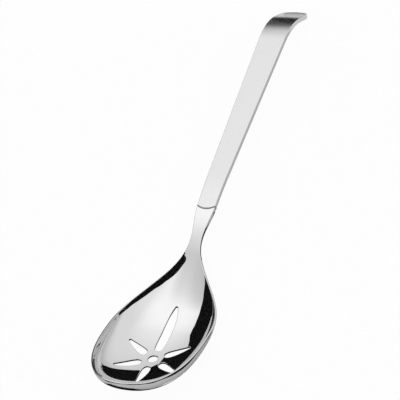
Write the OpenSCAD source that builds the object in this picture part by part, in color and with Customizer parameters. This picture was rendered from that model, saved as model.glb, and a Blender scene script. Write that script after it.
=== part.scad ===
// Slotted serving spoon: a pressed bowl with its neck, a flat strap handle with a hook at its end,
// and the weld that joins them. The spoon is drawn with its rim level and its toe at the origin,
// then laid down on the heel of the bowl and the tip of the hook.

/* [Bowl] */
// Width across the rim, inside the sheet
bowl_w = 64; // [50:1:80]
// Distance from the toe to the widest place
widest_y = 49; // [40:1:58]
// Depth below the rim at the deepest place
bowl_depth = 13; // [8:0.1:20]
// Distance from the toe to the deepest place
deepest_y = 27; // [24:1:45]
// Distance from the toe to where the hollow runs out
hollow_l = 112; // [95:1:113]
// Distance from the toe to where the steep walls have become slanted
dish_y = 72; // [62:1:90]
// Sheet thickness of the bowl
sheet_t = 1.2; // [0.9:0.1:2]

/* [Drain slots] */
// Distance from the toe to the centre of the star of slots
star_y = 38.5; // [34:0.5:44]
// Diameter of the hole in the centre
hole_d = 6.1; // [2:0.1:8]
// Number of slots round the hole
slot_n = 6; // [4:1:7]
// Distance from the centre to the inner end of every slot
slot_start = 6.9; // [6:0.1:9]
// Length of a short slot
short_slot_l = 16.5; // [8:0.5:17]
// Width of a short slot
short_slot_w = 5.1; // [2:0.1:6]
// Length of the long slot, which points at the handle
long_slot_l = 33.5; // [18:0.5:38]
// Width of the long slot
long_slot_w = 6.1; // [3:0.1:7]
// Radius of the narrow outer end of a slot
slot_tip_r = 0.9; // [0.3:0.05:1]

/* [Neck] */
// Distance from the toe to where the rim starts to rise into the neck
rise_y = 60.5; // [52:0.5:70]
// Radius of the upward bend
rise_r = 89; // [75:1:110]
// Steepest angle of the neck above the rim
neck_angle = 33.6; // [28:0.1:38]
// Distance from the toe to the narrowest place
waist_y = 118.5; // [114:0.5:124]
// Width at the narrowest place
waist_w = 7.5; // [5:0.1:10]
// Thickness at the narrowest place
waist_t = 2.2; // [1.6:0.1:3]

/* [Handle] */
// Distance from the toe to the edges of the weld
seam_y = 139; // [134:0.5:146]
// Width at the weld
seam_w = 12.1; // [9:0.1:16]
// Thickness of the strap
strap_t = 3.2; // [2.4:0.1:4.5]
// Radius of the long bend that lets the handle down from the neck
bow_r = 230; // [180:5:300]
// Angle of the straight stretch above the rim
handle_angle = 19.1; // [14:0.1:24]
// Length of the straight stretch
straight_l = 121; // [80:1:160]
// Width at the tip
tip_w = 20.6; // [15:0.1:26]

/* [Hook] */
// Radius of the hook on its upper face
hook_r = 56.5; // [35:0.5:80]
// Angle of the tip below the rim
tip_angle = 14.8; // [5:0.1:30]
// Length of the flat stretch past the hook
tip_l = 17.2; // [10:0.1:25]
// Length of the rounded end of the tip
tip_round_l = 7.8; // [3:0.1:10]

/* [Weld] */
// Radius of the arc that the weld follows
seam_r = 11; // [9.5:0.5:20]
// Width of the weld
weld_w = 0.7; // [0.4:0.1:1.2]
// How far the weld lies below the faces beside it
weld_dip = 0.15; // [0.05:0.05:0.3]

/* [Hidden] */

// Roundness of the outline at the toe and of the hollow lengthwise and across, as exponents;
// the front of the bowl has steep walls, its back slanted ones
toe_power = 2.43;
hollow_in_power = 1.54;
hollow_out_power = 2.73;
hollow_rear_power = 1.18;
front_in_power = 2.15;
front_out_power = 2.8;
back_in_power = 3;
back_out_power = 1.5;
shoulder_power = 1.34;
// Squareness of the rounded tip, as an exponent
tip_power = 2.3;
// Place of the widest point of a slot along it, bluntness of its inner end and roundness of its sides
short_peak_share = 0.25;
long_peak_share = 0.4;
short_blunt_power = 2.5;
long_blunt_power = 3.6;
short_side_power = 1.6;
long_side_power = 3.5;
// Where the sheet starts to thicken towards the neck, as a share of the hollow
thicken_share = 0.78;
// Overrun of every cut
over = 1;

toe_rows = 17;
rear_rows = 26;
cols = 28;
slot_steps = 9;
arc_step = 1;
tip_step = 7.5;
settle_steps = 30;

half_bowl_w = bowl_w / 2;
half_waist_w = waist_w / 2;
half_seam_w = seam_w / 2;

// Side line of the rim, neck and handle: level, a bend up, a long bend down, straight, the hook
bow_y = rise_y + rise_r * sin(neck_angle);
bow_z = rise_r * (1 - cos(neck_angle));
straight_y = bow_y + bow_r * (sin(neck_angle) - sin(handle_angle));
straight_z = bow_z + bow_r * (cos(handle_angle) - cos(neck_angle));
hook_y = straight_y + straight_l * cos(handle_angle);
hook_z = straight_z + straight_l * sin(handle_angle);
hook_c = [hook_y + hook_r * sin(handle_angle), hook_z - hook_r * cos(handle_angle)];
flat_y = hook_c.x + hook_r * sin(tip_angle);
flat_z = hook_c.y + hook_r * cos(tip_angle);
tip_y = flat_y + tip_l * cos(tip_angle);
tip_z = flat_z - tip_l * sin(tip_angle);
bow_c = [bow_y + bow_r * sin(neck_angle), bow_z - bow_r * cos(neck_angle)];

// The weld's arc: its chord is the strap's width, its bulge points at the bowl
seam_sag = seam_r - sqrt(seam_r * seam_r - half_seam_w * half_seam_w);
seam_slope = asin(sin(neck_angle) - (seam_y - bow_y) / bow_r);
bowl_end_y = seam_y + seam_sag;

function ease(t) = (1 - cos(180 * min(max(t, 0), 1))) / 2;
function mix(a, b, t) = a + (b - a) * t;

// Height of the side line above the rim
function line_z(y) =
    y < rise_y ? 0 :
    y < bow_y ? rise_r - sqrt(rise_r * rise_r - pow(y - rise_y, 2)) :
    y < straight_y ? bow_c.y + sqrt(bow_r * bow_r - pow(y - bow_c.x, 2)) :
    straight_z + (y - straight_y) * tan(handle_angle);

// Half of the width at a distance from the toe
function half_w(y) =
    y < widest_y ? half_bowl_w * pow(1 - pow(1 - y / widest_y, toe_power), 1 / toe_power) :
    y < waist_y ? mix(half_bowl_w, half_waist_w, ease(pow((y - widest_y) / (waist_y - widest_y), shoulder_power))) :
    mix(half_waist_w, half_seam_w, ease((y - waist_y) / (seam_y - waist_y)));

// Depth of the hollow along the middle
function hollow(y) = bowl_depth * (
    y < deepest_y ? pow(1 - pow(1 - y / deepest_y, hollow_in_power), 1 / hollow_out_power) :
    1 - ease(pow((y - deepest_y) / (hollow_l - deepest_y), hollow_rear_power)));

// Thickness of the sheet, neck and strap
thicken_y = hollow_l * thicken_share;
function thick(y) =
    y < waist_y ? mix(sheet_t, waist_t, ease((y - thicken_y) / (waist_y - thicken_y))) :
    mix(waist_t, strap_t, ease((y - waist_y) / (seam_y - seam_sag - waist_y)));

// A point of the upper face, where u runs from -1 to 1 across it, and the direction square to it
function slant(y) = ease((y - widest_y) / (dish_y - widest_y));
function across(y, u) = pow(max(1 - pow(abs(u), mix(front_in_power, back_in_power, slant(y))), 0),
    1 / mix(front_out_power, back_out_power, slant(y)));
function face(y, u) = [half_w(y) * u, y, line_z(y) - hollow(y) * across(y, u)];
face_step = 0.01;
function square_to(y, u) = let(
    u0 = max(u - face_step, -1), u1 = min(u + face_step, 1),
    y0 = y * (1 - face_step), y1 = y * (1 + face_step),
    n = cross(face(y, u1) - face(y, u0), face(y1, u) - face(y0, u))) n / norm(n);
function under(y, u) = face(y, u) - square_to(y, u) * thick(y);

row_y = concat(
    [for (i = [1 : toe_rows]) widest_y * (1 - cos(90 * i / toe_rows))],
    [for (i = [1 : rear_rows]) mix(widest_y, bowl_end_y, i / rear_rows)]);
col_u = [for (j = [0 : cols]) sin(180 * j / cols - 90)];
toe_under = [0, -sheet_t, 0];

// Lowest point of a side outline after the spoon is tilted toe up, and its reach
function low(points, tilt) = min([for (p = points) p.y * cos(tilt) - p.x * sin(tilt)]);
function near(points, tilt) = min([for (p = points) p.x * cos(tilt) + p.y * sin(tilt)]);
function far(points, tilt) = max([for (p = points) p.x * cos(tilt) + p.y * sin(tilt)]);
function settle(a, b, left) = let(m = (a + b) / 2)
    left == 0 ? m :
    low(keel_line, m) < low(strap_line, m) ? settle(m, b, left - 1) : settle(a, m, left - 1);

keel_line = concat([[toe_under.y, toe_under.z]],
    [for (y = row_y) let(p = under(y, 0)) [p.y, p.z]]);

function flip(points) = [for (i = [len(points) - 1 : -1 : 0]) points[i]];

// Side outline of the strap, from before the weld to the end of the hook
function arc(c, r, from, to) = let(n = ceil(abs(to - from) / arc_step))
    [for (i = [0 : n]) let(a = mix(from, to, i / n)) [c.x + r * cos(a), c.y + r * sin(a)]];
strap_start = 90 + asin((bow_c.x - waist_y) / bow_r);
function strap_side(drop) = concat(
    arc(bow_c, bow_r - drop, strap_start, 90 + handle_angle),
    arc(hook_c, hook_r - drop, 90 + handle_angle, 90 - tip_angle));
tip_dir = [cos(tip_angle), -sin(tip_angle)];
function tip_end(drop, reach) = [flat_y, flat_z] + (tip_l + reach) * tip_dir
    - drop * [sin(tip_angle), cos(tip_angle)];
// The tip is cut square to the rim, so its lower edge lies under its upper edge
strap_line = concat(strap_side(strap_t), [[tip_y, tip_z - strap_t / cos(tip_angle)]]);

rest_tilt = settle(0, 60, settle_steps);
rest_lift = -min(low(keel_line, rest_tilt), low(strap_line, rest_tilt));
rest_mid = (near(keel_line, rest_tilt) + far([[tip_y, tip_z]], rest_tilt)) / 2;

module at_rest() {
    translate([0, -rest_mid, rest_lift]) rotate([-rest_tilt, 0, 0]) children();
}

// Outline of one slot, drawn along +Y from its inner end, broad there and narrow at the far end
module slot_outline(l, w, peak, blunt, sides) {
    function half_slot(s) = s < peak ?
        w / 2 * pow(1 - pow(1 - s / peak, blunt), 1 / blunt) :
        slot_tip_r + (w / 2 - slot_tip_r) * (1 - pow((s - peak) / (1 - peak), sides));
    side = concat(
        [for (i = [0 : slot_steps]) let(s = peak * (1 - cos(90 * i / slot_steps))) [half_slot(s), l * s]],
        [for (i = [1 : slot_steps]) let(s = mix(peak, 1, i / slot_steps))
            [half_slot(s), mix(l * peak, l - slot_tip_r, i / slot_steps)]],
        [for (a = [30, 60]) [slot_tip_r * cos(a), l - slot_tip_r + slot_tip_r * sin(a)]]);
    polygon(concat(side, [[0, l]], [for (i = [len(side) - 1 : -1 : 1]) [-side[i].x, side[i].y]]));
}

module slots() {
    translate([0, star_y, -bowl_depth - sheet_t - over]) linear_extrude(bowl_depth + sheet_t + 2 * over) {
        circle(d = hole_d, $fn = 48);
        for (k = [0 : slot_n - 1]) rotate(360 * k / slot_n) translate([0, slot_start])
            if (k == 0) slot_outline(long_slot_l, long_slot_w, long_peak_share, long_blunt_power, long_side_power);
            else slot_outline(short_slot_l, short_slot_w, short_peak_share, short_blunt_power, short_side_power);
    }
}

// The centre of the weld's arc, with Z square to the strap
module at_seam() {
    translate([0, seam_y - seam_sag, line_z(seam_y - seam_sag)]) rotate([seam_slope, 0, 0])
        translate([0, seam_r, 0]) children();
}

module seam_round(r) {
    translate([0, 0, -2 * strap_t]) cylinder(r = r, h = 4 * strap_t, $fn = 96);
}

module shell() {
    rows = len(row_y);
    n = cols + 1;
    upper = concat([[0, 0, 0]], [for (y = row_y, u = col_u) face(y, u)]);
    lower = concat([toe_under], [for (y = row_y, u = col_u) under(y, u)]);
    base = len(upper);
    function at(i, j) = 1 + i * n + j;
    inner = concat(
        [for (j = [0 : cols - 1]) [0, at(0, j), at(0, j + 1)]],
        [for (i = [0 : rows - 2], j = [0 : cols - 1]) [at(i, j), at(i + 1, j), at(i + 1, j + 1)]],
        [for (i = [0 : rows - 2], j = [0 : cols - 1]) [at(i, j), at(i + 1, j + 1), at(i, j + 1)]]);
    outer = [for (f = inner) [base + f[2], base + f[1], base + f[0]]];
    edge = concat([for (i = [rows - 1 : -1 : 0]) at(i, 0)], [0], [for (i = [0 : rows - 1]) at(i, cols)],
        [for (j = [cols - 1 : -1 : 1]) at(rows - 1, j)]);
    m = len(edge);
    rim = concat(
        [for (i = [0 : m - 1]) let(a = edge[i], b = edge[(i + 1) % m]) [a, b, base + b]],
        [for (i = [0 : m - 1]) let(a = edge[i], b = edge[(i + 1) % m]) [a, base + b, base + a]]);
    polyhedron(concat(upper, lower), concat(inner, outer, rim), convexity = 6);
}

// Pressed bowl and neck in one piece of polished sheet, with its drain slots
module bowl() {
    color("gainsboro") at_rest() difference() {
        shell();
        slots();
        at_seam() seam_round(seam_r);
    }
}

// Plan of the strap, wider towards the tip, with a rounded end
module strap_plan() {
    start_y = seam_y - 2 * seam_sag;
    round_y = tip_y - tip_round_l;
    taper = (tip_w - seam_w) / 2 / (round_y - seam_y);
    right = concat([[half_seam_w - taper * (seam_y - start_y), start_y]],
        [for (a = [0 : tip_step : 90]) [tip_w / 2 * pow(cos(a), 2 / tip_power),
            round_y + tip_round_l * pow(sin(a), 2 / tip_power)]]);
    polygon(concat(right, [for (i = [len(right) - 2 : -1 : 0]) [-right[i].x, right[i].y]]));
}

// The strap with its bends and hook, not yet cut at the weld, thinned by dip on both faces
module strap(dip) {
    intersection() {
        rotate([90, 0, 90]) translate([0, 0, -tip_w]) linear_extrude(2 * tip_w)
            polygon(concat(strap_side(dip), [tip_end(dip, tip_l), tip_end(strap_t - dip, tip_l)],
                flip(strap_side(strap_t - dip))));
        linear_extrude(hook_z + hook_r) strap_plan();
    }
}

// Flat strap with a hook at its end, its other end rounded to meet the weld
module handle() {
    color("silver") at_rest() difference() {
        strap(0);
        at_seam() difference() {
            translate([-tip_w, -seam_y, -2 * strap_t]) cube([2 * tip_w, seam_y, 4 * strap_t]);
            seam_round(seam_r - weld_w);
        }
    }
}

// Weld bead that fills the arc between the neck and the strap
module neck_weld() {
    color("dimgray") at_rest() difference() {
        intersection() {
            strap(weld_dip);
            at_seam() seam_round(seam_r);
        }
        at_seam() {
            seam_round(seam_r - weld_w);
            translate([-seam_r, 0, -2 * strap_t]) cube([2 * seam_r, seam_r + over, 4 * strap_t]);
        }
    }
}

bowl();
neck_weld();
handle();
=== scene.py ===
"""Dresses the slotted serving spoon: a mirror polished bowl, a satin strap handle and a ground weld."""

import math

import bmesh
import bpy
import numpy as np
from bpy.props import FloatProperty, FloatVectorProperty, PointerProperty
from mathutils import Matrix, Vector
from mathutils.geometry import delaunay_2d_cdt


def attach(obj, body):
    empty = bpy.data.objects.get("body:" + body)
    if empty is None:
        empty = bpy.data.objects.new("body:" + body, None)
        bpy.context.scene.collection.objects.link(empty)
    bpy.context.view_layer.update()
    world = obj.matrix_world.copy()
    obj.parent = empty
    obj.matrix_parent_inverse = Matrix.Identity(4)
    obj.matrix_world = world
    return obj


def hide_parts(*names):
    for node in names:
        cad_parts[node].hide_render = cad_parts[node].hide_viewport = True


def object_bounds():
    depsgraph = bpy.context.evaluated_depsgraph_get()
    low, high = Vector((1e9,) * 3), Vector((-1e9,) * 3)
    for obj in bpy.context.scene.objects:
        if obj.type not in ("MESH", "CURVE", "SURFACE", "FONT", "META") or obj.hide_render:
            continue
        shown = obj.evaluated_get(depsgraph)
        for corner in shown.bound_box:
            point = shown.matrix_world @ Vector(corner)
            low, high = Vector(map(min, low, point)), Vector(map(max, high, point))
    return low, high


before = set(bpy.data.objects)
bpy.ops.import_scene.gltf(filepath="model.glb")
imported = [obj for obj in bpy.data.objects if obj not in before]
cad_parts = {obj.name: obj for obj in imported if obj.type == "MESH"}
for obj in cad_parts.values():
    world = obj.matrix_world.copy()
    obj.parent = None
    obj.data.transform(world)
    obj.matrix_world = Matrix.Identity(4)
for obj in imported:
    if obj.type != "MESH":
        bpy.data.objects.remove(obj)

bl_info = {
    "name": "Slotted serving spoon",
    "version": (1, 0, 0),
    "blender": (4, 5, 0),
    "location": "3D View > Sidebar > Spoon",
    "description": "Builds the looks of a slotted serving spoon round its CAD model",
    "category": "Object",
}

CAD_BOX = [list(corner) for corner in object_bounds()]

# Powers and shares that shape the outline, hollow, walls, tip and slots, as in the CAD source
TOE_POWER = 2.43
HOLLOW_IN_POWER = 1.54
HOLLOW_OUT_POWER = 2.73
HOLLOW_REAR_POWER = 1.18
FRONT_IN_POWER = 2.15
FRONT_OUT_POWER = 2.8
BACK_IN_POWER = 3.0
BACK_OUT_POWER = 1.5
SHOULDER_POWER = 1.34
TIP_POWER = 2.3
SHORT_PEAK_SHARE = 0.25
LONG_PEAK_SHARE = 0.4
SHORT_BLUNT_POWER = 2.5
LONG_BLUNT_POWER = 3.6
SHORT_SIDE_POWER = 1.6
LONG_SIDE_POWER = 3.5
THICKEN_SHARE = 0.78
SLOT_COUNT = 6
# How many points are on the outline of the hole and on the stretches of a slot's outline
HOLE_POINTS = 32
BROAD_POINTS = 15
NARROW_POINTS = 21
NARROW_TIP_POINTS = 4
# How many rows and columns of points the strap has
BOW_ROWS = 18
STRAIGHT_ROWS = 40
HOOK_ROWS = 40
TIP_ROWS = 40
STRAP_COLUMNS = 25
# Where the strap's sides start past the weld, and where its rows have lost the weld's curve
START_PAST_WELD = 0.0002
ARC_FADE_L = 0.02
# Steps that directions are measured over: a share on the faces of the bowl, a length on the strap
FACE_STEP = 0.01
SLOPE_STEP = 1e-5
# Share of plain white in what the camera and the steel see of the white board
WHITE_SHARE = 0.95
# Width of the camera's sensor, in millimetres
SENSOR_WIDTH = 36


def linear(code):
    """Turns a colour written as sRGB hex into linear red, green and blue."""
    parts = [int(code[i:i + 2], 16) / 255 for i in (1, 3, 5)]
    return tuple(p / 12.92 if p <= 0.04045 else ((p + 0.055) / 1.055) ** 2.4 for p in parts)


def length(name, description, default):
    """A length property in metres."""
    return FloatProperty(name=name, description=description, default=default, unit="LENGTH", precision=5)


def angle(name, description, degrees):
    """An angle property whose default is written in degrees."""
    return FloatProperty(name=name, description=description, default=math.radians(degrees), unit="ROTATION")


def spot(name, description, default):
    """A point in the row's frame, in metres."""
    return FloatVectorProperty(
        name=name, description=description, default=default, subtype="TRANSLATION", unit="LENGTH"
    )


def colour(name, description, code):
    """A colour property whose default is written as sRGB hex."""
    return FloatVectorProperty(
        name=name, description=description, default=linear(code), subtype="COLOR", min=0, max=1
    )


class SpoonSizes(bpy.types.PropertyGroup):
    """Sizes of the spoon, drawn with its rim level, and how it lies at rest"""

    bowl_w: length("Bowl width", "Width across the rim", 0.064)
    widest_y: length("Widest place", "Distance from the toe to the widest place", 0.049)
    bowl_depth: length("Bowl depth", "Depth below the rim", 0.013)
    deepest_y: length("Deepest place", "Distance from the toe to the deepest place", 0.027)
    hollow_l: length("Hollow length", "Distance from the toe to where the hollow runs out", 0.112)
    dish_y: length("Start of the dish", "Distance from the toe to where the walls slant", 0.072)
    sheet_t: length("Sheet thickness", "Thickness of the bowl", 0.0012)
    star_y: length("Star centre", "Distance from the toe to the centre of the slots", 0.0385)
    hole_d: length("Hole diameter", "Diameter of the hole in the centre", 0.0061)
    slot_start: length("Slot start", "Distance from the centre to the inner end of a slot", 0.0069)
    short_slot_l: length("Short slot length", "Length of a short slot", 0.0165)
    short_slot_w: length("Short slot width", "Width of a short slot", 0.0051)
    long_slot_l: length("Long slot length", "Length of the slot that points at the handle", 0.0335)
    long_slot_w: length("Long slot width", "Width of the slot that points at the handle", 0.0061)
    slot_tip_r: length("Slot tip radius", "Radius of the narrow end of a slot", 0.0009)
    rise_y: length("Start of the rise", "Distance from the toe to where the rim starts to rise", 0.0605)
    rise_r: length("Radius of the rise", "Radius of the upward bend", 0.089)
    neck_angle: angle("Neck angle", "Steepest angle of the neck above the rim", 33.6)
    waist_y: length("Waist place", "Distance from the toe to the narrowest place", 0.1185)
    waist_w: length("Waist width", "Width at the narrowest place", 0.0075)
    waist_t: length("Waist thickness", "Thickness at the narrowest place", 0.0022)
    seam_y: length("Weld place", "Distance from the toe to the edges of the weld", 0.139)
    seam_w: length("Weld width", "Width at the weld", 0.0121)
    seam_r: length("Weld arc", "Radius of the arc that the weld follows", 0.011)
    weld_w: length("Bead width", "Width of the weld bead", 0.0007)
    strap_t: length("Strap thickness", "Thickness of the handle", 0.0032)
    bow_r: length("Bow radius", "Radius of the long bend behind the weld", 0.23)
    handle_angle: angle("Handle angle", "Angle of the straight stretch above the rim", 19.1)
    straight_l: length("Straight length", "Length of the straight stretch", 0.121)
    tip_w: length("Tip width", "Width of the handle at its tip", 0.0206)
    hook_r: length("Hook radius", "Radius of the hook on its upper face", 0.0565)
    tip_angle: angle("Tip angle", "Angle of the tip below the rim", 14.8)
    tip_l: length("Tip length", "Length of the flat stretch past the hook", 0.0172)
    tip_round_l: length("Tip rounding", "Length of the rounded end of the tip", 0.0078)
    sheet_edge_r: length("Bowl edge", "Rounding of the rim and the slot edges by the polish", 0.0003)
    outer_edge_r: length("Outer bowl edge", "Rounding of the same edges on the outside", 0.0005)
    strap_edge_r: length("Strap edge", "Rounding of the handle's edges", 0.00035)
    rest_tilt: angle("Rest tilt", "How far the toe is tilted up as the spoon lies on its heel", 17.806)
    rest_lift: length("Rest lift", "Height of the toe's rim above the floor", 0.0293564)
    rest_mid: length("Rest middle", "Distance from the toe to the middle of the whole spoon", 0.165924)


class SpoonFinishes(bpy.types.PropertyGroup):
    """Colours of the steel and of the studio"""

    polished: colour("Polished steel", "Colour of the mirror polished bowl", "#E6E6E6")
    satin: colour("Satin steel", "Colour of the brushed handle", "#EBEBEB")
    # The weld colour is partly the bead's own and partly painted shade of a groove along the seam
    weld: colour("Weld", "Colour of the ground weld bead", "#8D8D8D")
    floor: colour("Floor", "Colour of the floor", "#F4F4F4")
    # The grey card is painted shade of the floor as the steel mirrors it
    grey: colour("Grey card", "Colour of the grey card on the floor that the steel mirrors", "#DCDCDC")
    pale: colour("Pale card", "Colour of the pale card beyond the hook that its tip mirrors", "#F6F6F6")
    # The dark cards' colour also paints the shadows under the bowl and under the tip's end
    card: colour("Dark card", "Colour of the dark cards that the steel mirrors", "#1C1C1C")
    overhead: colour("Sky", "Light from above", "#EEEEEE")
    horizon: colour("Horizon", "Light from the level of the floor", "#C4C4C4")


class SpoonCamera(bpy.types.PropertyGroup):
    """Place of the camera"""

    location: spot("Location", "Place of the camera", (0.375308, -0.560509, 0.694998))
    aim: spot("Aim", "Point that the camera looks at", (-0.008093, -0.016004, 0.012329))
    roll: angle("Roll", "Turn of the camera about its own line of sight", -21.848)
    lens: FloatProperty(name="Lens", description="Focal length", default=135.3, unit="CAMERA")


def ease(t):
    """A smooth step from 0 to 1."""
    return (1 - np.cos(np.pi * np.clip(t, 0, 1))) / 2


def mix(a, b, t):
    """The value between a and b at the share t."""
    return a + (b - a) * t


def unit(v):
    """Each row of v at length 1."""
    return v / np.linalg.norm(v, axis=-1, keepdims=True)


class Shape:
    """The faces of the spoon in the frame of its rim, by the same rules as the CAD source."""

    def __init__(self, s):
        self.s = s
        self.bow_y = s.rise_y + s.rise_r * math.sin(s.neck_angle)
        bow_z = s.rise_r * (1 - math.cos(s.neck_angle))
        self.bow_c = (
            self.bow_y + s.bow_r * math.sin(s.neck_angle), bow_z - s.bow_r * math.cos(s.neck_angle),
        )
        self.straight_y = self.bow_c[0] - s.bow_r * math.sin(s.handle_angle)
        straight_z = self.bow_c[1] + s.bow_r * math.cos(s.handle_angle)
        hook_y = self.straight_y + s.straight_l * math.cos(s.handle_angle)
        hook_z = straight_z + s.straight_l * math.sin(s.handle_angle)
        self.hook_c = (
            hook_y + s.hook_r * math.sin(s.handle_angle), hook_z - s.hook_r * math.cos(s.handle_angle),
        )
        flat_y = self.hook_c[0] + s.hook_r * math.sin(s.tip_angle)
        self.tip_y = flat_y + s.tip_l * math.cos(s.tip_angle)
        self.seam_sag = s.seam_r - math.sqrt(s.seam_r ** 2 - (s.seam_w / 2) ** 2)
        self.seam_slope = math.asin(math.sin(s.neck_angle) - (s.seam_y - self.bow_y) / s.bow_r)
        self.bowl_end_y = s.seam_y + self.seam_sag

    def line_z(self, y):
        """Height of the rim, the neck and the upper face before the straight stretch."""
        s = self.s
        rise = s.rise_r - np.sqrt(np.maximum(s.rise_r ** 2 - (y - s.rise_y) ** 2, 0))
        bow = self.bow_c[1] + np.sqrt(np.maximum(s.bow_r ** 2 - (y - self.bow_c[0]) ** 2, 0))
        return np.where(y < s.rise_y, 0, np.where(y < self.bow_y, rise, bow))

    def half_w(self, y):
        """Half of the width of the bowl and neck."""
        s = self.s
        toe = 1 - np.clip(1 - y / s.widest_y, 0, 1) ** TOE_POWER
        front = s.bowl_w / 2 * np.clip(toe, 0, 1) ** (1 / TOE_POWER)
        back = np.clip((y - s.widest_y) / (s.waist_y - s.widest_y), 0, 1) ** SHOULDER_POWER
        neck = ease((y - s.waist_y) / (s.seam_y - s.waist_y))
        shoulder = mix(s.bowl_w / 2, s.waist_w / 2, ease(back))
        return np.where(
            y < s.widest_y, front, np.where(y < s.waist_y, shoulder, mix(s.waist_w / 2, s.seam_w / 2, neck))
        )

    def hollow(self, y):
        """Depth of the hollow along the middle."""
        s = self.s
        front = 1 - np.clip(1 - y / s.deepest_y, 0, 1) ** HOLLOW_IN_POWER
        back = np.clip((y - s.deepest_y) / (s.hollow_l - s.deepest_y), 0, 1) ** HOLLOW_REAR_POWER
        return s.bowl_depth * np.where(
            y < s.deepest_y, np.clip(front, 0, 1) ** (1 / HOLLOW_OUT_POWER), 1 - ease(back)
        )

    def thick(self, y):
        """Thickness of the sheet and of the neck."""
        s = self.s
        start = s.hollow_l * THICKEN_SHARE
        sheet = mix(s.sheet_t, s.waist_t, ease((y - start) / (s.waist_y - start)))
        neck = ease((y - s.waist_y) / (s.seam_y - self.seam_sag - s.waist_y))
        return np.where(y < s.waist_y, sheet, mix(s.waist_t, s.strap_t, neck))

    def face(self, y, u):
        """Points of the upper face, where u runs from -1 to 1 across it."""
        y, u = np.broadcast_arrays(np.asarray(y, float), np.asarray(u, float))
        slant = ease((y - self.s.widest_y) / (self.s.dish_y - self.s.widest_y))
        inner = mix(FRONT_IN_POWER, BACK_IN_POWER, slant)
        outer = mix(FRONT_OUT_POWER, BACK_OUT_POWER, slant)
        across = np.clip(1 - np.abs(u) ** inner, 0, 1) ** (1 / outer)
        return np.stack([self.half_w(y) * u, y, self.line_z(y) - self.hollow(y) * across], -1)

    def square_to(self, y, u):
        """Direction square to the upper face."""
        y, u = np.broadcast_arrays(np.asarray(y, float), np.asarray(u, float))
        across = self.face(y, np.minimum(u + FACE_STEP, 1)) - self.face(y, np.maximum(u - FACE_STEP, -1))
        along = self.face(y * (1 + FACE_STEP), u) - self.face(y * (1 - FACE_STEP), u)
        return unit(np.cross(across, along))

    def under(self, y, u):
        """Points of the lower face."""
        return self.face(y, u) - self.square_to(y, u) * self.thick(np.asarray(y, float))[..., None]

    def strap_z(self, y, drop):
        """Height of the strap at a distance from the toe, drop below its upper face."""
        s = self.s
        bow = self.bow_c[1] + np.sqrt(np.maximum((s.bow_r - drop) ** 2 - (y - self.bow_c[0]) ** 2, 0))
        hook = self.hook_c[1] + np.sqrt(np.maximum((s.hook_r - drop) ** 2 - (y - self.hook_c[0]) ** 2, 0))
        straight_y = self.bow_c[0] - (s.bow_r - drop) * math.sin(s.handle_angle)
        hook_y = self.hook_c[0] - (s.hook_r - drop) * math.sin(s.handle_angle)
        flat_y = self.hook_c[0] + (s.hook_r - drop) * math.sin(s.tip_angle)
        straight_z = self.bow_c[1] + (s.bow_r - drop) * math.cos(s.handle_angle)
        flat_z = self.hook_c[1] + (s.hook_r - drop) * math.cos(s.tip_angle)
        return np.where(
            y < straight_y, bow,
            np.where(
                y < hook_y, straight_z + (y - straight_y) * math.tan(s.handle_angle),
                np.where(y < flat_y, hook, flat_z - (y - flat_y) * math.tan(s.tip_angle)),
            ),
        )

    def strap_face(self, plan, drop):
        """Points of the strap over or under its plan, and the directions square to its upper side."""
        x, y = plan[..., 0], plan[..., 1]
        z = self.strap_z(y, drop)
        rise = self.strap_z(y + SLOPE_STEP, drop) - self.strap_z(y - SLOPE_STEP, drop)
        slope = rise / (2 * SLOPE_STEP)
        square = unit(np.stack([0 * x, -slope, 0 * x + 1], -1))
        return np.stack([x, y, z], -1), square

    def at_rest(self, points):
        """Points of the rim's frame in the row's frame, with the spoon lying down."""
        return self.turned(points) + np.array([0, -self.s.rest_mid, self.s.rest_lift])

    def turned(self, directions):
        """Directions of the rim's frame in the row's frame."""
        cosine, sine = math.cos(self.s.rest_tilt), math.sin(self.s.rest_tilt)
        return directions @ np.array([[1, 0, 0], [0, cosine, -sine], [0, sine, cosine]])


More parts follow.
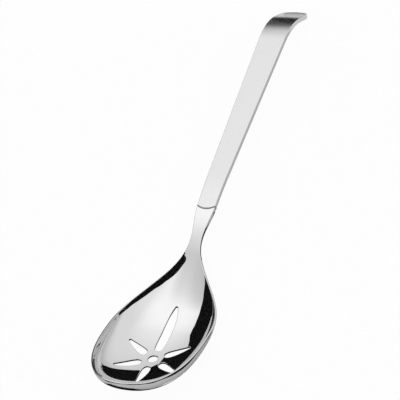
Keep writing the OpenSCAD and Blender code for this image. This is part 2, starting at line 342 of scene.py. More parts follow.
class Skin:
    """Points, their outward directions and the faces between them, gathered piece by piece."""

    def __init__(self):
        self.points, self.squares, self.faces = [], [], []

    def add(self, points, squares):
        """Adds points and returns their numbers."""
        start = len(self.points)
        self.points.extend(points.reshape(-1, 3))
        self.squares.extend(np.broadcast_to(squares, points.shape).reshape(-1, 3))
        return np.arange(start, len(self.points)).reshape(points.shape[:-1])

    def grid(self, rows):
        """Faces between the neighbours of a table of point numbers."""
        for a, b in zip(rows[:-1], rows[1:]):
            self.faces.extend(zip(a[:-1], a[1:], b[1:], b[:-1]))

    def edge(self, upper, lower, corner_a, corner_b, radii, outward, steps=4):
        """A closed band round an edge: rounded from the upper face, straight, rounded to the lower face."""
        down = unit(corner_b - corner_a)
        along = np.roll(corner_a, -1, 0) - np.roll(corner_a, 1, 0)
        wall = unit(np.cross(along, down))
        # One sign for the whole loop, as outward is only a rough direction
        wall *= np.sign(np.sum(wall * outward))
        bands = [upper]
        for numbers, corner, toward, radius, order in (
            (upper, corner_a, down, radii[0], range(1, steps + 1)),
            (lower, corner_b, -down, radii[1], range(steps, 0, -1)),
        ):
            start = np.array([self.points[i] for i in numbers])
            square = np.array([self.squares[i] for i in numbers])
            end = corner + toward * radius
            for k in order:
                t = k / steps
                bend = (1 - t) ** 2 * start + 2 * t * (1 - t) * corner + t ** 2 * end
                bands.append(self.add(bend, unit((1 - t) * square + t * wall)))
        bands.append(lower)
        self.grid([np.append(b, b[0]) for b in bands])

    def piece(self, name, shape, finish):
        """Makes the mesh object, laid down at rest, with its true directions for shading."""
        mesh = bpy.data.meshes.new(name)
        points = np.clip(shape.at_rest(np.array(self.points)), *CAD_BOX)
        mesh.from_pydata(points.tolist(), [], [tuple(int(i) for i in f) for f in self.faces])
        shaped = bmesh.new()
        shaped.from_mesh(mesh)
        bmesh.ops.recalc_face_normals(shaped, faces=shaped.faces)
        shaped.to_mesh(mesh)
        shaped.free()
        mesh.polygons.foreach_set("use_smooth", [True] * len(mesh.polygons))
        mesh.normals_split_custom_set_from_vertices(shape.turned(np.array(self.squares)).tolist())
        mesh.materials.append(finish)
        made = bpy.data.objects.new(name, mesh)
        bpy.context.scene.collection.objects.link(made)
        return made


def node(tree, kind, place, links=None, **settings):
    """Adds a node with its settings, and its inputs from values or other nodes' sockets."""
    made = tree.nodes.new(kind)
    made.location = place
    for name, value in settings.items():
        setattr(made, name, value)
    for name, value in (links or {}).items():
        socket = made.inputs[name]
        if isinstance(value, bpy.types.NodeSocket):
            tree.links.new(value, socket)
        else:
            socket.default_value = value
    return made


def material(name):
    """A new node material with its output, and the tree to build in."""
    made = bpy.data.materials.new(name)
    made.use_nodes = True
    made.node_tree.nodes.clear()
    return made, made.node_tree


def waves(size):
    """Scale of a noise whose marks are about this many millimetres apart."""
    return 1000 / size


def polished_steel(colour_value):
    """Stainless steel, pressed and then buffed to a mirror: clear reflections in a faint buffing haze."""
    made, tree = material("stainless_steel_mirror_polished")
    place = node(tree, "ShaderNodeTexCoord", (-900, 0))
    # Buffing leaves soft cloudy patches about 12 mm across, with wipe marks about 0.8 mm apart in them
    clouds = node(
        tree, "ShaderNodeTexNoise", (-700, 100),
        {"Vector": place.outputs["Object"], "Scale": waves(11.76), "Detail": 3.0},
    )
    haze = node(
        tree, "ShaderNodeMapRange", (-450, 100),
        {"Value": clouds.outputs["Fac"], "From Min": 0.3, "From Max": 0.7, "To Min": 0.012, "To Max": 0.025},
    )
    wipes = node(
        tree, "ShaderNodeTexNoise", (-700, -200),
        {"Vector": place.outputs["Object"], "Scale": waves(0.8333), "Detail": 2.0},
    )
    bump = node(
        tree, "ShaderNodeBump", (-450, -200),
        {"Height": wipes.outputs["Fac"], "Strength": 0.02, "Distance": 0.00001},
    )
    steel = node(
        tree, "ShaderNodeBsdfPrincipled", (-150, 0),
        {
            "Base Color": (*colour_value, 1), "Metallic": 1.0, "Roughness": haze.outputs["Result"],
            "Normal": bump.outputs["Normal"],
        },
    )
    node(tree, "ShaderNodeOutputMaterial", (150, 0), {"Surface": steel.outputs["BSDF"]})
    return made


def satin_steel(colour_value):
    """Stainless steel strip, brushed lengthwise on a fine belt: a silky even grey, finely streaked."""
    made, tree = material("stainless_steel_satin_brushed")
    place = node(tree, "ShaderNodeTexCoord", (-1200, 0))
    # A belt scratch is about 0.05 mm wide; drawn 0.5 mm wide and 30 mm long so that it shows
    stretch = node(
        tree, "ShaderNodeMapping", (-1000, 0),
        {"Vector": place.outputs["Object"], "Scale": (waves(0.5), waves(30.3), waves(30.3))},
    )
    grain = node(
        tree, "ShaderNodeTexNoise", (-800, 0),
        {"Vector": stretch.outputs["Vector"], "Scale": 1.0, "Detail": 4.0},
    )
    rough = node(
        tree, "ShaderNodeMapRange", (-550, 150),
        {"Value": grain.outputs["Fac"], "From Min": 0.25, "From Max": 0.75, "To Min": 0.21, "To Max": 0.24},
    )
    shade = node(
        tree, "ShaderNodeMapRange", (-550, 400),
        {"Value": grain.outputs["Fac"], "From Min": 0.25, "From Max": 0.75, "To Min": 0.98, "To Max": 1.0},
    )
    tint = node(
        tree, "ShaderNodeMix", (-350, 400),
        {"Factor": 1.0, "A": (*colour_value, 1), "B": shade.outputs["Result"]},
        data_type="RGBA", blend_type="MULTIPLY",
    )
    bump = node(
        tree, "ShaderNodeBump", (-550, -150),
        {"Height": grain.outputs["Fac"], "Strength": 0.08, "Distance": 0.00002},
    )
    # The grain runs along the handle, so reflections smear across it
    crosswise = node(
        tree, "ShaderNodeVectorTransform", (-550, -400), {"Vector": (1.0, 0.0, 0.0)},
        vector_type="VECTOR", convert_from="OBJECT", convert_to="WORLD",
    )
    steel = node(
        tree, "ShaderNodeBsdfPrincipled", (-100, 0),
        {
            "Base Color": tint.outputs[2], "Metallic": 1.0, "Roughness": rough.outputs["Result"],
            "Anisotropic": 0.95, "Normal": bump.outputs["Normal"], "Tangent": crosswise.outputs["Vector"],
        },
    )
    node(tree, "ShaderNodeOutputMaterial", (200, 0), {"Surface": steel.outputs["BSDF"]})
    return made


def weld_steel_with_seam_shade(colour_value):
    """Stainless weld bead, ground nearly flush: a duller line with a coarse ground texture, darker partly by
    its own colour and partly by painted shade of a groove along the seam.
    """
    made, tree = material("stainless_steel_ground_weld_and_seam_shade")
    place = node(tree, "ShaderNodeTexCoord", (-900, 0))
    # Grinding grit of about 0.3 mm
    grit = node(
        tree, "ShaderNodeTexNoise", (-700, 0),
        {"Vector": place.outputs["Object"], "Scale": waves(0.303), "Detail": 3.0},
    )
    rough = node(
        tree, "ShaderNodeMapRange", (-450, 100),
        {"Value": grit.outputs["Fac"], "From Min": 0.3, "From Max": 0.7, "To Min": 0.35, "To Max": 0.5},
    )
    bump = node(
        tree, "ShaderNodeBump", (-450, -200),
        {"Height": grit.outputs["Fac"], "Strength": 0.5, "Distance": 0.00005},
    )
    steel = node(
        tree, "ShaderNodeBsdfPrincipled", (-150, 0),
        {
            "Base Color": (*colour_value, 1), "Metallic": 1.0, "Roughness": rough.outputs["Result"],
            "Normal": bump.outputs["Normal"],
        },
    )
    node(tree, "ShaderNodeOutputMaterial", (150, 0), {"Surface": steel.outputs["BSDF"]})
    return made


def white_board(colour_value):
    """Matt white painted board: it shows white to the camera and in the steel, and keeps a soft shadow."""
    made, tree = material("matt_white_board")
    path = node(tree, "ShaderNodeLightPath", (-900, 200))
    glossy = node(
        tree, "ShaderNodeMath", (-700, 200),
        {0: path.outputs["Is Camera Ray"], 1: path.outputs["Is Glossy Ray"]}, operation="MAXIMUM",
    )
    seen = node(
        tree, "ShaderNodeMath", (-500, 200),
        {0: glossy.outputs[0], 1: path.outputs["Is Transmission Ray"]}, operation="MAXIMUM",
    )
    share = node(
        tree, "ShaderNodeMath", (-300, 200), {0: seen.outputs[0], 1: WHITE_SHARE}, operation="MULTIPLY",
    )
    paint = node(tree, "ShaderNodeBsdfDiffuse", (-300, 0), {"Color": (*colour_value, 1), "Roughness": 0.5})
    white = node(tree, "ShaderNodeEmission", (-300, -200), {"Color": (1, 1, 1, 1), "Strength": 1.0})
    both = node(
        tree, "ShaderNodeMixShader", (0, 0),
        {0: share.outputs[0], 1: paint.outputs["BSDF"], 2: white.outputs["Emission"]},
    )
    node(tree, "ShaderNodeOutputMaterial", (200, 0), {"Surface": both.outputs["Shader"]})
    return made


def matt_paper(name, colour_value):
    """Matt paper in one even tone: black in the steel's dark bands and painted shadows, grey as painted
    floor shade or pale on its low faces.
    """
    made, tree = material(name)
    paper = node(tree, "ShaderNodeBsdfDiffuse", (0, 0), {"Color": (*colour_value, 1), "Roughness": 0.5})
    node(tree, "ShaderNodeOutputMaterial", (200, 0), {"Surface": paper.outputs["BSDF"]})
    return made


def slot_outline(slot_l, slot_w, tip_r, peak, blunt, sides):
    """Outline of one slot along +Y from its inner end, blunt there and narrow at the far end."""
    s = 1 - np.cos(np.linspace(0, np.pi / 2, BROAD_POINTS))
    broad = np.stack([slot_w / 2 * (1 - (1 - s) ** blunt) ** (1 / blunt), slot_l * peak * s], 1)
    s = np.linspace(0, 1, NARROW_POINTS + 1)[1:]
    half = tip_r + (slot_w / 2 - tip_r) * (1 - s ** sides)
    narrow = np.stack([half, mix(slot_l * peak, slot_l - tip_r, s)], 1)
    a = np.linspace(0, np.pi / 2, NARROW_TIP_POINTS + 1)[1:]
    tip = np.stack([tip_r * np.cos(a), slot_l - tip_r + tip_r * np.sin(a)], 1)
    side = np.concatenate([broad, narrow, tip])
    return np.concatenate([side, side[-2:0:-1] * [-1, 1]])


def grown(outline, distance):
    """An outline moved outwards by a distance, and its outward directions."""
    along = np.roll(outline, -1, 0) - np.roll(outline, 1, 0)
    out = unit(np.stack([along[:, 1], -along[:, 0]], 1))
    turn = np.sum(outline[:, 0] * np.roll(outline[:, 1], -1) - np.roll(outline[:, 0], -1) * outline[:, 1])
    out *= np.sign(turn)
    return outline + out * distance, out


def openings(s):
    """Plan outlines of the hole and the slots, of which the first is the long one."""
    a = np.linspace(0, 2 * np.pi, HOLE_POINTS + 1)[:-1]
    found = [np.stack([np.cos(a), np.sin(a)], 1) * s.hole_d / 2]
    long_slot = slot_outline(
        s.long_slot_l, s.long_slot_w, s.slot_tip_r, LONG_PEAK_SHARE, LONG_BLUNT_POWER, LONG_SIDE_POWER
    )
    short_slot = slot_outline(
        s.short_slot_l, s.short_slot_w, s.slot_tip_r, SHORT_PEAK_SHARE, SHORT_BLUNT_POWER, SHORT_SIDE_POWER
    )
    for k in range(SLOT_COUNT):
        outline = (short_slot if k else long_slot) + [0, s.slot_start]
        turn = 2 * math.pi * k / SLOT_COUNT
        cosine, sine = math.cos(turn), math.sin(turn)
        found.append(outline @ np.array([[cosine, sine], [-sine, cosine]]))
    return [outline + [0, s.star_y] for outline in found]


def inside(points, outline):
    """Which of the points lie inside an outline."""
    x, y = points[:, 0, None], points[:, 1, None]
    x0, y0 = outline[:, 0], outline[:, 1]
    x1, y1 = np.roll(x0, -1), np.roll(y0, -1)
    crosses = (y0 > y) != (y1 > y)
    rise = np.where(y1 == y0, 1, y1 - y0)
    return (crosses & (x < (x1 - x0) * (y - y0) / rise + x0)).sum(1) % 2 == 1


class BowlSheet:
    """The upper or lower face of the bowl as a flat sheet of rows and columns, with places cut out.

    On the flat sheet b is a place along the bowl, in metres, and a is one across it, from -1 to 1.
    """

    ROW_STEP = 0.0011
    COLUMNS = 72
    # Samples of the table that tells how far the sheet reaches, and its first one as an angle of the toe
    TOE_SAMPLES = 200
    BACK_SAMPLES = 239
    FIRST_ANGLE = 0.002
    # Share across at which the search for the rim starts, and how many rounds the two searches take
    INNERMOST_SHARE = 0.3
    RIM_ROUNDS = 40
    OVER_ROUNDS = 25
    # How far points stay clear of a cut, how near points are merged, and where the toe's slope is taken
    CUT_MARGIN = 0.0005
    MERGE_DISTANCE = 1e-9
    TOE_Y = 1e-6

    def __init__(self, shape, radius, lower):
        self.shape, self.radius, self.lower = shape, radius, lower
        self.at = shape.under if lower else shape.face
        self.end = shape.bowl_end_y
        self.rows = np.linspace(0, self.end, round(self.end / self.ROW_STEP) + 1)[1:]
        self.cols = np.linspace(-1, 1, self.COLUMNS + 1)
        s = shape.s
        self.arc_y = s.seam_y - shape.seam_sag
        toe = s.widest_y * (1 - np.cos(np.linspace(self.FIRST_ANGLE, np.pi / 2, self.TOE_SAMPLES)))
        back = np.linspace(s.widest_y, self.end + s.seam_w, self.BACK_SAMPLES + 1)[1:]
        table = np.concatenate([toe, back])
        self.table = (table, self.find_rim(table))

    def find_rim(self, y):
        """How far across a row the face goes before the rounding of the rim starts."""
        low, high = np.full(y.shape, self.INNERMOST_SHARE), np.ones(y.shape)
        rim = self.at(y, 1.0)
        for _ in range(self.RIM_ROUNDS):
            middle = (low + high) / 2
            far = np.linalg.norm(self.at(y, middle) - rim, axis=-1) > self.radius
            low, high = np.where(far, middle, low), np.where(far, high, middle)
        return low

    def reach(self, y):
        """Share of the half width that the sheet fills."""
        return np.interp(y, *self.table)

    def row_y(self, b):
        """The distance from the toe of a row of the flat sheet, whose rows lie closer at the toe."""
        widest_y = self.shape.s.widest_y
        return np.where(b < widest_y, widest_y * (1 - np.cos(b / widest_y * np.pi / 2)), b)

    def place(self, b, a, inset):
        """The distance from the toe and the share across of a point of the flat sheet."""
        s, shape = self.shape.s, self.shape
        u = np.sin(a * np.pi / 2)
        x = u * s.seam_w / 2
        end = self.arc_y + (s.seam_r - np.sqrt(s.seam_r ** 2 - x ** 2)) * math.cos(shape.seam_slope)
        share = (b - s.waist_y) / (self.end - s.waist_y)
        y = np.where(b > s.waist_y, mix(s.waist_y, end - inset, share), self.row_y(b))
        return y, u

    def flat(self, plan):
        """Points of the plan on the flat sheet."""
        s = self.shape.s
        x, y = plan[:, 0], plan[:, 1]
        toe = np.arccos(np.clip(1 - y / s.widest_y, -1, 1)) / np.pi * 2 * s.widest_y
        b = np.where(y < s.widest_y, toe, y)
        u = x / self.shape.half_w(y) / self.reach(y)
        return np.stack([b, np.arcsin(np.clip(u, -1, 1)) / np.pi * 2], 1)

    def over(self, plan):
        """The places on the face that lie exactly over or under points of the plan."""
        guess = plan.copy()
        for _ in range(self.OVER_ROUNDS):
            y, u = guess[:, 1], guess[:, 0] / self.shape.half_w(guess[:, 1])
            guess = guess + plan - self.at(y, u)[:, :2]
        return guess[:, 1], guess[:, 0] / self.shape.half_w(guess[:, 1])

    def make(self, skin, outlines):
        """Adds the sheet to the skin, and returns the numbers of its outer ring and of each cut's ring."""
        shape, s, side = self.shape, self.shape.s, -1 if self.lower else 1
        stretch = np.array([1, s.bowl_w / 2])
        cuts, wide = [], []
        for outline in outlines:
            for gathered, margin in ((cuts, 0), (wide, self.CUT_MARGIN)):
                y, u = self.over(grown(outline, self.radius + margin)[0])
                gathered.append(self.flat(np.stack([u * shape.half_w(y), y], 1)))
        b, a = [v.ravel() for v in np.meshgrid(self.rows, self.cols, indexing="ij")]
        grid = np.stack([b, a], 1)
        border = (a == -1) | (a == 1) | (b == self.rows[0]) | (b == self.rows[-1])
        free = ~border
        for cut in wide:
            free &= ~inside(grid, cut)
        rows, cols = len(self.rows), len(self.cols)
        number = np.arange(rows * cols).reshape(rows, cols)
        ring = np.concatenate([number[::-1, 0], number[0, 1:-1], number[:, -1], number[-1, -2:0:-1]])
        order = np.concatenate([ring, np.where(free)[0]])
        flat = [grid[order]] + cuts
        starts = np.cumsum([0] + [len(f) for f in flat])
        loops = [np.arange(len(ring))] + [np.arange(len(c)) + starts[i + 1] for i, c in enumerate(cuts)]
        edges = [(int(p), int(q)) for loop in loops for p, q in zip(loop, np.roll(loop, -1))]
        flat = np.concatenate(flat)
        found = delaunay_2d_cdt([Vector(p) for p in flat * stretch], edges, [], 0, self.MERGE_DISTANCE)
        known = np.full(len(found[0]), -1)
        for i, group in enumerate(found[3]):
            known[i] = group[0]
        centre = np.array([[flat[known[i]] for i in f] for f in found[2]]).mean(1)
        keep = np.ones(len(centre), bool)
        for cut in cuts:
            keep &= ~inside(centre, cut)
        y, u = self.place(flat[:, 0], flat[:, 1], self.radius)
        u = u * self.reach(y)
        numbers = skin.add(self.at(y, u), shape.square_to(y, u) * side)
        skin.faces.extend(tuple(numbers[known[i]] for i in f) for f, k in zip(found[2], keep) if k)
        apex = np.array([0, -s.sheet_t if self.lower else 0, -self.radius])
        toe = skin.add(apex[None], shape.square_to(self.TOE_Y, 0.0) * side)[0]
        row = {int(n): i for i, n in enumerate(order)}
        front = [numbers[row[int(n)]] for n in number[0]]
        skin.faces.extend((toe, p, q) for p, q in zip(front[:-1], front[1:]))
        sides = [numbers[row[int(n)]] for n in number[::-1, 0]]
        back = [numbers[row[int(n)]] for n in np.concatenate([number[:, -1], number[-1, -2:0:-1]])]
        outer = np.array(sides + [toe] + back)
        return outer, [numbers[loop] for loop in loops[1:]]

    def corners(self):
        """The sharp corners that the outer ring would have without its rounding, in the ring's order."""
        sheet_t = self.shape.s.sheet_t
        back = len(self.rows)
        y, u = self.place(self.rows, np.ones(back), 0)
        left = self.at(y, -u)[::-1]
        right = self.at(y, u)
        toe = np.array([[0, -sheet_t if self.lower else 0, 0]], float)
        y, u = self.place(np.full(len(self.cols) - 2, self.end), self.cols[-2:0:-1], 0)
        return np.concatenate([left, toe, right, self.at(y, u)])


def build_bowl(s, finish):
    """The pressed bowl with its neck, its drain slots cut through, as one closed mesh."""
    shape, skin = Shape(s), Skin()
    radii = (s.sheet_edge_r, s.outer_edge_r)
    outlines = openings(s)
    upper, lower = BowlSheet(shape, radii[0], False), BowlSheet(shape, radii[1], True)
    top_ring, top_cuts = upper.make(skin, outlines)
    low_ring, low_cuts = lower.make(skin, outlines)
    corner_a, corner_b = upper.corners(), lower.corners()
    # The rim's own face looks up where the wall is steep and outwards on the neck
    below = np.array([0, s.widest_y, -s.bowl_w])
    skin.edge(top_ring, low_ring, corner_a, corner_b, radii, corner_a - below)
    for outline, top, low in zip(outlines, top_cuts, low_cuts):
        out = grown(outline, 0)[1]
        corner_a, corner_b = upper.at(*upper.over(outline)), lower.at(*lower.over(outline))
        skin.edge(top, low, corner_a, corner_b, radii, np.pad(-out, ((0, 0), (0, 1))))
    return skin.piece("bowl_polished", shape, finish)


def strap_plan(s, shape):
    """One side of the strap's plan, as points from its corner at the weld to the middle of the tip."""
    start = s.seam_y + START_PAST_WELD
    round_y = shape.tip_y - s.tip_round_l
    taper = (s.tip_w - s.seam_w) / 2 / (round_y - s.seam_y)
    hook_y = shape.hook_c[0] - s.hook_r * math.sin(s.handle_angle)
    y = np.concatenate([
        np.linspace(start, shape.straight_y, BOW_ROWS)[:-1],
        np.linspace(shape.straight_y, hook_y, STRAIGHT_ROWS)[:-1],
        np.linspace(hook_y, round_y, HOOK_ROWS)[:-1],
    ])
    a = np.linspace(0, np.pi / 2, TIP_ROWS)
    rounded = np.stack([
        s.tip_w / 2 * np.cos(a) ** (2 / TIP_POWER),
        round_y + s.tip_round_l * np.sin(a) ** (2 / TIP_POWER),
    ], 1)
    straight = np.stack([s.seam_w / 2 + (y - s.seam_y) * taper, y], 1)
    return np.concatenate([straight, rounded])


def build_handle(s, finish):
    """The flat strap with its bow, hook and rounded tip, its other end curved to meet the weld."""
    shape, skin = Shape(s), Skin()
    radius = s.strap_edge_r
    side = strap_plan(s, shape)
    side[-1, 0] = 0
    cols = np.sin(np.linspace(-np.pi / 2, np.pi / 2, STRAP_COLUMNS))
    arc_r = s.seam_r - s.weld_w
    slope = math.cos(shape.seam_slope)

    def rows(points, inset, shift):
        """Rows across the strap, the first ones curved like the weld."""
        x = points[:-1, :1] * cols
        bulge = s.seam_r - np.sqrt(np.maximum(arc_r ** 2 - x ** 2, 0))
        arc = s.seam_y - shape.seam_sag + bulge * slope + inset
        fade = ease((points[:-1, 1:] - side[0, 1]) / ARC_FADE_L)
        straight = points[:-1, 1:] + 0 * x
        y = mix(arc + shift + straight - side[0, 1], straight, fade)
        return np.stack([x, y], -1)

    out_side = grown(np.concatenate([side, side[-2::-1] * [-1, 1]]), -radius)[0][:len(side)]
    out_side[0] = [side[0, 0] - radius, side[0, 1]]
    out_side[-1] = [0, side[-1, 1] - radius]
    rings, corners = [], []
    for drop, turn, shift in ((0.0, 1, 0.0), (s.strap_t, -1, s.strap_t * math.sin(shape.seam_slope))):
        for points, inset in ((out_side, radius), (side, 0)):
            plan = rows(points, inset, shift)
            place, square = shape.strap_face(plan, drop)
            tip, tip_square = shape.strap_face(points[-1:], drop)
            if inset:
                table = skin.add(place, square * turn)
                end = skin.add(tip, tip_square * turn)[0]
                skin.grid(table)
                skin.faces.extend((end, p, q) for p, q in zip(table[-1][:-1], table[-1][1:]))
                rings.append(np.concatenate([[end], table[::-1, 0], table[0, 1:-1], table[:, -1]]))
            else:
                corners.append(np.concatenate([tip, place[::-1, 0], place[0, 1:-1], place[:, -1]]))
    centre = np.array([0, side[:, 1].mean(), 0])
    skin.edge(rings[0], rings[1], corners[0], corners[1], (radius, radius), corners[0] - centre)
    return skin.piece("handle_satin", shape, finish)


class SPOON_OT_bowl(bpy.types.Operator):
    """Build the polished bowl with its neck and slots"""

    bl_idname = "spoon.bowl"
    bl_label = "Bowl"

    def execute(self, context):
        scene = context.scene
        made = build_bowl(scene.spoon_sizes, polished_steel(scene.spoon_finishes.polished))
        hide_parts("bowl")
        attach(made, "root")
        return {"FINISHED"}


class SPOON_OT_handle(bpy.types.Operator):
    """Build the satin strap handle with its hook"""

    bl_idname = "spoon.handle"
    bl_label = "Handle"

    def execute(self, context):
        scene = context.scene
        made = build_handle(scene.spoon_sizes, satin_steel(scene.spoon_finishes.satin))
        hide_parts("handle")
        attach(made, "root")
        return {"FINISHED"}


class SPOON_OT_weld(bpy.types.Operator):
    """Give the weld bead of the CAD model its finish"""

    bl_idname = "spoon.weld"
    bl_label = "Weld"

    def execute(self, context):
        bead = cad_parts["neck_weld"]
        bead.data.materials.clear()
        bead.data.materials.append(weld_steel_with_seam_shade(context.scene.spoon_finishes.weld))
        return {"FINISHED"}


# Stretches of the long dark card: azimuth from the handle's side, lower and upper height, in degrees.
# Its edges run in smooth curves through the stations of a stretch and step from one stretch to the next
SIDE_CARD = (
    ((-88, 2, 28), (-84, 2, 35), (-80, 2, 41), (-75, 2, 45), (-66, 2, 45)),
    ((-65, 7, 45), (-62, 10, 44), (-57, 11, 42), (-53, 10, 40), (-47, 7, 36.5), (-44, 6, 34), (-41, 5, 30)),
    ((-40.5, 4.5, 21.5), (-31.5, 1, 25)),
    ((-30.5, 1, 22), (-27, 0.5, 21), (-20, -1, 18.5), (-8, -1, 15), (1, -1, 11), (7, -1, 6), (13, -1, 1.5)),
)
# Stations of the dark room behind the camera: azimuth and height of its near edge, then of its far edge
ROOM = (
    (-80.5, 66.5, -80.5, 67), (-78, 66.5, -80, 72), (-73, 69, -90, 77), (-69, 72, -113, 74),
    (-65, 75, -130, 62), (-59, 78.5, -146, 42), (-50, 81, -157, 20), (-35, 83, -170, 2),
    (-10, 84.5, -180, 0), (25, 84.5, -196, 0), (45, 83, -215, 0), (60, 79.5, -228, 0), (66.5, 74, -240, 0),
    (70, 65, -252, 0), (70, 54, -262, 0), (69, 42, -270, 0), (70, 24, -279, 0), (69, 8, -285, 0),
    (66.5, -1, -291, -1),
)
CARD_CENTRE = (0, -0.11, 0.015)
CARD_DISTANCE = 6.0
# Corners on the floor of the dark card behind the hook, in metres. Its near edge, which ends the hook's
# dark band, bends back at both sides, as brushed steel smears its reflections crosswise
HOOK_CARD = (
    (0.8, 1.76), (0.8, 4.9), (-2.4, 4.9), (-0.2, 0.5), (-0.03, 0.192), (-0.017, 0.194), (-0.005, 0.198),
    (0.005, 0.196), (0.02, 0.208), (0.05, 0.261),
)
# Corners of the pale card under the near edge of that dark card, which the flat of the tip mirrors
TIP_CARD = ((-0.25, 0.15), (0.15, 0.15), (0.15, 0.45), (-0.25, 0.45))
# Painted shadow: the shade on the floor right under the tip's end, as a dark card that only the steel sees
# Corners of the small dark card right behind the tip, whose reflection is the thin line along its end
END_SHADOW_CARD = ((-0.013, 0.1685), (0.008, 0.1685), (0.008, 0.1776), (-0.013, 0.1776))
# Corners of the small dark card beside the neck, whose reflection is the dark line down its side
NECK_CARD = (
    (0.004, -0.058), (0.0105, -0.058), (0.0125, -0.034), (0.015, -0.016), (0.012, -0.016), (0.004, -0.04),
)
# Painted shadow: the bowl's shadow on the floor, as a dark card that only the steel sees
# Corners of the dark card under the bowl, which the slot edges and the lowest part of its wall mirror
UNDER_SHADOW_CARD = (
    (-0.034, -0.187), (-0.002, -0.187), (0.008, -0.17), (0.021, -0.155), (0.024, -0.145), (0.024, -0.06),
    (-0.03, -0.06), (-0.03, -0.16),
)
# Places on the round near edge of the dark card at the toe, whose reflection is the line under the rim
RIM_CARD = (
    (-0.04, -0.142), (-0.053, -0.182), (-0.03, -0.228), (-0.004, -0.24), (0.024, -0.232), (0.045, -0.203),
    (0.052, -0.174), (0.044, -0.134), (0.034, -0.104),
)
RIM_CARD_CENTRE = (0, -0.12)
RIM_CARD_SPREAD = 20
# How many steps a curve takes from one of its places to the next
CURVE_STEPS = 4
# The grey card is painted shade: the white floor drawn greyer where the steel mirrors it
# Half lengths of the floor and of the grey card, and the opening in the card under the slots
FLOOR_REACH = 8.0
FLOOR_SHADE_REACH = 3.0
FLOOR_SHADE_OPENING = ((-0.026, -0.16), (0.026, -0.06))
# How high the cards on the floor lie, the dark ones on top
DARK_CARD_HEIGHT = 0.0005
PALE_CARD_HEIGHT = 0.0004
FLOOR_SHADE_HEIGHT = 0.0003


def stage_mesh(name, points, faces, finish):
    """A staging object that isn't part of the spoon."""
    mesh = bpy.data.meshes.new(name)
    mesh.from_pydata(points, [], faces)
    mesh.materials.append(finish)
    made = bpy.data.objects.new(name, mesh)
    bpy.context.scene.collection.objects.link(made)
    return made


def curve(places):
    """Rows of numbers on smooth curves through the given rows, from the first to the last."""
    rows = np.array([places[0], *places, places[-1]], float)
    t = np.arange(CURVE_STEPS)[:, None] / CURVE_STEPS
    found = []
    for a, b, c, d in zip(rows[:-3], rows[1:-2], rows[2:-1], rows[3:]):
        bend = t * (1 - t) * ((1 - t) * (c - a) - t * (d - b)) / 2
        found.append(mix(b, c, t ** 2 * (3 - 2 * t)) + bend)
    return np.concatenate([*found, rows[-1:]]).tolist()


def card(name, stations, finish):
    """A dark card far round the spoon, seen only in the steel."""
    points = []
    for station in stations:
        for azimuth, height in station:
            a, h = math.radians(azimuth), math.radians(height)
            way = Vector((math.sin(a) * math.cos(h), math.cos(a) * math.cos(h), math.sin(h)))
            points.append(tuple(Vector(CARD_CENTRE) + way * CARD_DISTANCE))
    faces = [(2 * i, 2 * i + 1, 2 * i + 3, 2 * i + 2) for i in range(len(stations) - 1)]
    return only_mirrored(stage_mesh(name, points, faces, finish))


def only_mirrored(made):
    """Keeps a card out of everything but reflections."""
    made.visible_camera = False
    made.visible_diffuse = False
    made.visible_shadow = False
    made.visible_transmission = False
    return made


# Directions of the lamp behind the tent and of the greyer place on its wall
LAMP_WAY = (-0.391, 0.42, 0.819)
SHADE_WAY = (-0.601, 0.021, 0.799)
# Light at the lamp, at the greyer place and at the top of the tent, as shares of the light beside them
LAMP_SHARE = 1.36
SHADE_SHARE = 0.7
CROWN_SHARE = 1.09


def studio_light(finishes):
    """World light like a white tent: palest at the lamp, greyer beside it and at the floor's level."""
    world = bpy.data.worlds.new("white_tent")
    world.use_nodes = True
    tree = world.node_tree
    tree.nodes.clear()
    way = node(tree, "ShaderNodeTexCoord", (-1400, 0))
    parts = node(tree, "ShaderNodeSeparateXYZ", (-1200, 200), {"Vector": way.outputs["Generated"]})
    height = node(
        tree, "ShaderNodeMapRange", (-1000, 200),
        {"Value": parts.outputs["Z"], "From Min": 0.0, "From Max": 0.6}, interpolation_type="SMOOTHSTEP",
    )
    sky = node(
        tree, "ShaderNodeMix", (-400, 200),
        {"Factor": height.outputs["Result"], "A": (*finishes.horizon, 1), "B": (*finishes.overhead, 1)},
        data_type="RGBA",
    )
    # The lamp side of the tent glows, the wall to the left of it is greyer and its crown a little paler
    lamp = node(
        tree, "ShaderNodeVectorMath", (-1200, -100),
        {0: way.outputs["Generated"], 1: LAMP_WAY}, operation="DOT_PRODUCT",
    )
    near = node(
        tree, "ShaderNodeMapRange", (-1000, -100),
        {"Value": lamp.outputs["Value"], "From Min": 0.85, "From Max": 1.0},
    )
    spread = node(
        tree, "ShaderNodeMath", (-800, -100), {0: near.outputs["Result"], 1: 2.0}, operation="POWER",
    )
    glow = node(
        tree, "ShaderNodeMapRange", (-600, -100),
        {"Value": spread.outputs[0], "To Min": 1.0, "To Max": LAMP_SHARE},
    )
    wall = node(
        tree, "ShaderNodeVectorMath", (-1200, -400),
        {0: way.outputs["Generated"], 1: SHADE_WAY}, operation="DOT_PRODUCT",
    )
    shade = node(
        tree, "ShaderNodeMapRange", (-1000, -400),
        {
            "Value": wall.outputs["Value"], "From Min": 0.935, "From Max": 0.985, "To Min": 1.0,
            "To Max": SHADE_SHARE,
        },
        interpolation_type="SMOOTHSTEP",
    )
    crown = node(
        tree, "ShaderNodeMapRange", (-1000, -700),
        {
            "Value": parts.outputs["Z"], "From Min": 0.84, "From Max": 0.97, "To Min": 1.0,
            "To Max": CROWN_SHARE,
        },
        interpolation_type="SMOOTHSTEP",
    )
    walls = node(
        tree, "ShaderNodeMath", (-600, -200), {0: glow.outputs["Result"], 1: shade.outputs["Result"]},
        operation="MULTIPLY",
    )
    level = node(
        tree, "ShaderNodeMath", (-400, -200), {0: walls.outputs[0], 1: crown.outputs["Result"]},
        operation="MULTIPLY",
    )
    back = node(
        tree, "ShaderNodeBackground", (-100, 0), {"Color": sky.outputs[2], "Strength": level.outputs[0]},
    )
    node(tree, "ShaderNodeOutputWorld", (100, 0), {"Surface": back.outputs["Background"]})
    bpy.context.scene.world = world


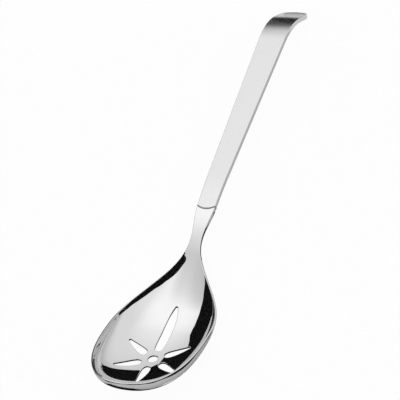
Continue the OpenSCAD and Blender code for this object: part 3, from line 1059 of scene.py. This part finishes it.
def place_camera(settings):
    """The camera at the photograph's viewing angle."""
    lens = bpy.data.cameras.new("camera")
    lens.lens = settings.lens
    lens.sensor_width = SENSOR_WIDTH
    camera = bpy.data.objects.new("camera", lens)
    look = Vector(settings.aim) - Vector(settings.location)
    turn = look.to_track_quat("-Z", "Y").to_matrix() @ Matrix.Rotation(settings.roll, 3, "Z")
    camera.matrix_world = Matrix.Translation(settings.location) @ turn.to_4x4()
    bpy.context.scene.collection.objects.link(camera)
    bpy.context.scene.camera = camera


class SPOON_OT_stage(bpy.types.Operator):
    """Set up the floor, the cards, the light and the camera"""

    bl_idname = "spoon.stage"
    bl_label = "Stage"

    def execute(self, context):
        scene = context.scene
        finishes = scene.spoon_finishes
        far = FLOOR_REACH
        corners = [(-far, -far, 0), (far, -far, 0), (far, far, 0), (-far, far, 0)]
        stage_mesh("floor", corners, [(0, 1, 2, 3)], white_board(finishes.floor))
        black = matt_paper("matt_black_paper_and_painted_shadow", finishes.card)
        side = [station for stretch in SIDE_CARD for station in curve(stretch)]
        card("card_side", [((a, low), (a, high)) for a, low, high in side], black)
        card("card_room", [((a, near), (b, far_up)) for a, near, b, far_up in curve(ROOM)], black)
        pale = matt_paper("matt_pale_paper", finishes.pale)
        # The dark cards under the bowl and behind the tip are painted shadows on the floor, seen only in the
        # steel
        for name, corners, height, finish in (
            ("card_hook", HOOK_CARD, DARK_CARD_HEIGHT, black),
            ("card_neck", NECK_CARD, DARK_CARD_HEIGHT, black),
            ("card_under_shadow", UNDER_SHADOW_CARD, DARK_CARD_HEIGHT, black),
            ("card_end_shadow", END_SHADOW_CARD, DARK_CARD_HEIGHT, black),
            ("card_tip", TIP_CARD, PALE_CARD_HEIGHT, pale),
        ):
            ground = [(x, y, height) for x, y in corners]
            only_mirrored(stage_mesh(name, ground, [tuple(range(len(ground)))], finish))
        x0, y0 = RIM_CARD_CENTRE
        spread = RIM_CARD_SPREAD
        edge = curve(RIM_CARD)
        ground = [(x, y, DARK_CARD_HEIGHT) for x, y in edge]
        ground += [(x0 + (x - x0) * spread, y0 + (y - y0) * spread, DARK_CARD_HEIGHT) for x, y in edge]
        n = len(edge)
        strips = [(i, i + 1, i + 1 + n, i + n) for i in range(n - 1)]
        only_mirrored(stage_mesh("card_rim", ground, strips, black))
        # Grey card: painted shade of the white floor, seen only in the steel, with an opening under the
        # slots
        (x0, y0), (x1, y1) = FLOOR_SHADE_OPENING
        far = FLOOR_SHADE_REACH
        ring = [(-far, -far), (far, -far), (far, far), (-far, far), (x0, y0), (x1, y0), (x1, y1), (x0, y1)]
        sides = [(i, (i + 1) % 4, (i + 1) % 4 + 4, i + 4) for i in range(4)]
        grey = matt_paper("matt_grey_paper_painted_floor_shade", finishes.grey)
        only_mirrored(stage_mesh("card_grey_painted_floor_shade", [(x, y, FLOOR_SHADE_HEIGHT) for x, y in ring], sides, grey))
        studio_light(finishes)
        place_camera(scene.spoon_camera)
        scene.view_settings.view_transform = "Standard"
        return {"FINISHED"}


class SPOON_PT_panel(bpy.types.Panel):
    """Builds the spoon's pieces and lists its sizes and finishes"""

    bl_idname = "SPOON_PT_panel"
    bl_label = "Slotted serving spoon"
    bl_space_type = "VIEW_3D"
    bl_region_type = "UI"
    bl_category = "Spoon"

    def draw(self, context):
        for kind in (SPOON_OT_bowl, SPOON_OT_handle, SPOON_OT_weld, SPOON_OT_stage):
            self.layout.operator(kind.bl_idname)
        for group in (context.scene.spoon_sizes, context.scene.spoon_finishes, context.scene.spoon_camera):
            box = self.layout.box()
            for name in group.__annotations__:
                box.prop(group, name)


CLASSES = (
    SpoonSizes, SpoonFinishes, SpoonCamera, SPOON_OT_bowl, SPOON_OT_handle, SPOON_OT_weld, SPOON_OT_stage,
    SPOON_PT_panel,
)


def register():
    """Registers the classes and hangs their settings on the scene."""
    for kind in CLASSES:
        bpy.utils.register_class(kind)
    bpy.types.Scene.spoon_sizes = PointerProperty(type=SpoonSizes)
    bpy.types.Scene.spoon_finishes = PointerProperty(type=SpoonFinishes)
    bpy.types.Scene.spoon_camera = PointerProperty(type=SpoonCamera)


def unregister():
    """Takes the settings and the classes away again."""
    del bpy.types.Scene.spoon_camera
    del bpy.types.Scene.spoon_finishes
    del bpy.types.Scene.spoon_sizes
    for kind in reversed(CLASSES):
        bpy.utils.unregister_class(kind)


def main():
    """Builds the pieces and the stage."""
    register()
    bpy.ops.spoon.bowl()
    bpy.ops.spoon.handle()
    bpy.ops.spoon.weld()
    bpy.ops.spoon.stage()


if __name__ == "__main__":
    main()
